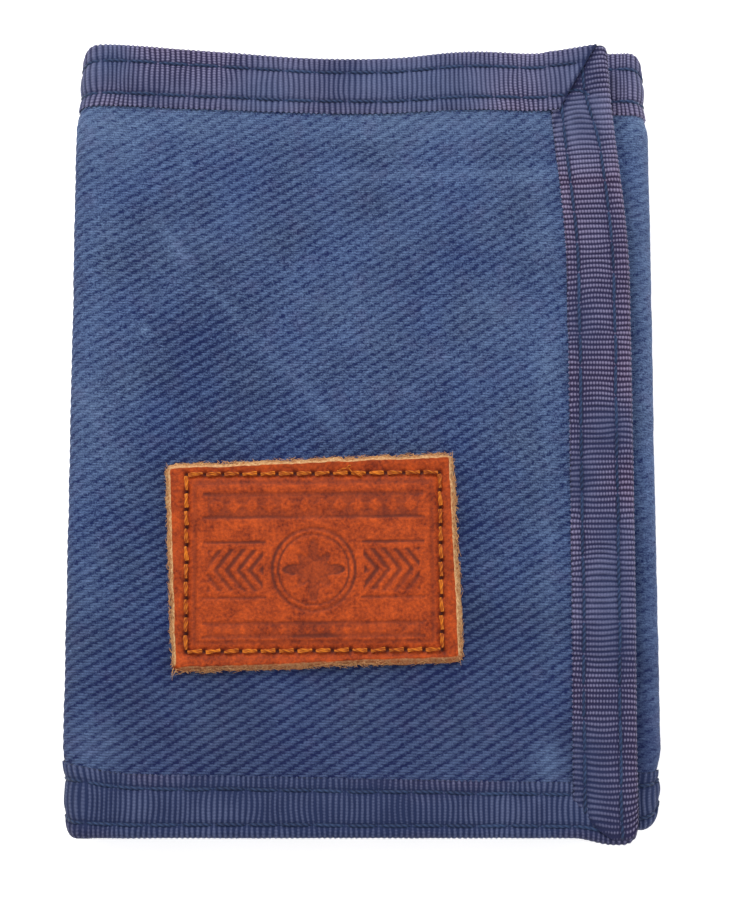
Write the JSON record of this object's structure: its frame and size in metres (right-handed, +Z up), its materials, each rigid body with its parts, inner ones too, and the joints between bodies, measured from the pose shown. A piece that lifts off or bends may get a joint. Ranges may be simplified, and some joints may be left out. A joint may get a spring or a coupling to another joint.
{
  "type": "trifold wallet",
  "caption": "Closed denim trifold wallet with tape-bound edges and a sewn leather patch; opens at two folds onto card pockets, a photo window and a zipped coin pocket.",
  "frame": {"origin": "under the middle of the closed wallet, on the face that rests on a table", "axes": "+Z up through the closed stack to the front flap, +Y to the open mouth of the bill compartment, +X to the free edge of the front flap"},
  "size_m": [0.089, 0.1204, 0.016],
  "materials": {
    "denim": "twill weave, faded along the folds and edges",
    "lining_nylon": "plain weave, slight sheen",
    "binding_tape": "ribbed grosgrain, matt",
    "thread": "twisted, matt",
    "leather": "oiled pull-up leather, raw pale edge",
    "patch_thread": "twisted, slight sheen",
    "hook_tape": "rows of small hooks",
    "loop_tape": "brushed loops",
    "pocket_trim": "narrow woven tape",
    "clear_vinyl": "clear flexible vinyl",
    "zip_tape": "herringbone tape",
    "zip_coil": "moulded nylon coil",
    "zip_metal": "aged plating"
  },
  "bodies": {
    "back_panel": {"back_shell": "denim", "back_lining": "lining_nylon", "back_top_binding": "binding_tape", "back_lining_binding": "binding_tape", "back_bottom_binding": "binding_tape", "back_stitching": "thread", "card_pocket": "lining_nylon", "card_pocket_trim": "pocket_trim", "id_window_frame": "lining_nylon", "id_window_pane": "clear_vinyl"},
    "left_fold": {"left_fold_shell": "denim", "left_fold_lining": "lining_nylon", "left_fold_top_binding": "binding_tape", "left_fold_lining_binding": "binding_tape", "left_fold_bottom_binding": "binding_tape", "left_fold_stitching": "thread"},
    "front_flap": {"front_shell": "denim", "front_lining": "lining_nylon", "front_top_binding": "binding_tape", "front_lining_binding": "binding_tape", "front_bottom_binding": "binding_tape", "front_stitching": "thread", "front_edge_binding": "binding_tape", "leather_patch": "leather", "patch_stitching": "patch_thread", "hook_strip": "hook_tape", "coin_pocket": "lining_nylon", "zip_tape_fold_side": "zip_tape", "zip_tape_pocket_side": "zip_tape", "zip_teeth": "zip_coil", "zip_stops": "zip_metal"},
    "right_fold": {"right_fold_shell": "denim", "right_fold_lining": "lining_nylon", "right_fold_top_binding": "binding_tape", "right_fold_lining_binding": "binding_tape", "right_fold_bottom_binding": "binding_tape", "right_fold_stitching": "thread"},
    "inner_flap": {"inner_shell": "denim", "inner_lining": "lining_nylon", "inner_top_binding": "binding_tape", "inner_lining_binding": "binding_tape", "inner_bottom_binding": "binding_tape", "inner_stitching": "thread", "inner_edge_binding": "binding_tape", "loop_strip": "loop_tape", "flap_rear_pocket": "lining_nylon", "flap_rear_pocket_trim": "pocket_trim", "flap_front_pocket": "lining_nylon", "flap_front_pocket_trim": "pocket_trim"},
    "slider": {"zip_slider": "zip_metal"},
    "pull_tab": {"zip_pull": "zip_metal"}
  },
  "joints": [
    {"name": "left_fold_hinge", "type": "hinge", "parent": "back_panel", "child": "left_fold", "pos_m": [-0.04309, 0, 0.00141], "axis": [0, -1, 0], "range_deg": [0, 90]},
    {"name": "front_flap_hinge", "type": "hinge", "parent": "left_fold", "child": "front_flap", "pos_m": [-0.04309, 0, 0.01289], "axis": [0, -1, 0], "range_deg": [0, 90]},
    {"name": "right_fold_hinge", "type": "hinge", "parent": "back_panel", "child": "right_fold", "pos_m": [0.04324, 0, 0.00126], "axis": [0, 1, 0], "range_deg": [0, 90]},
    {"name": "inner_flap_hinge", "type": "hinge", "parent": "right_fold", "child": "inner_flap", "pos_m": [0.04324, 0, 0.00844], "axis": [0, 1, 0], "range_deg": [0, 90]},
    {"name": "zip_slide", "type": "slide", "parent": "front_flap", "child": "slider", "axis": [0, -1, 0], "range_m": [0, 0.075]},
    {"name": "zip_pull_swing", "type": "hinge", "parent": "slider", "child": "pull_tab", "pos_m": [-0.0345, 0.0342, 0.0084], "axis": [1, 0, 0], "range_deg": [0, 15]}
  ],
  "couplings": [
    {"joint": "front_flap_hinge", "follows": "left_fold_hinge", "ratio": 1},
    {"joint": "right_fold_hinge", "follows": "left_fold_hinge", "ratio": 0.28},
    {"joint": "inner_flap_hinge", "follows": "left_fold_hinge", "ratio": 0.28}
  ]
}
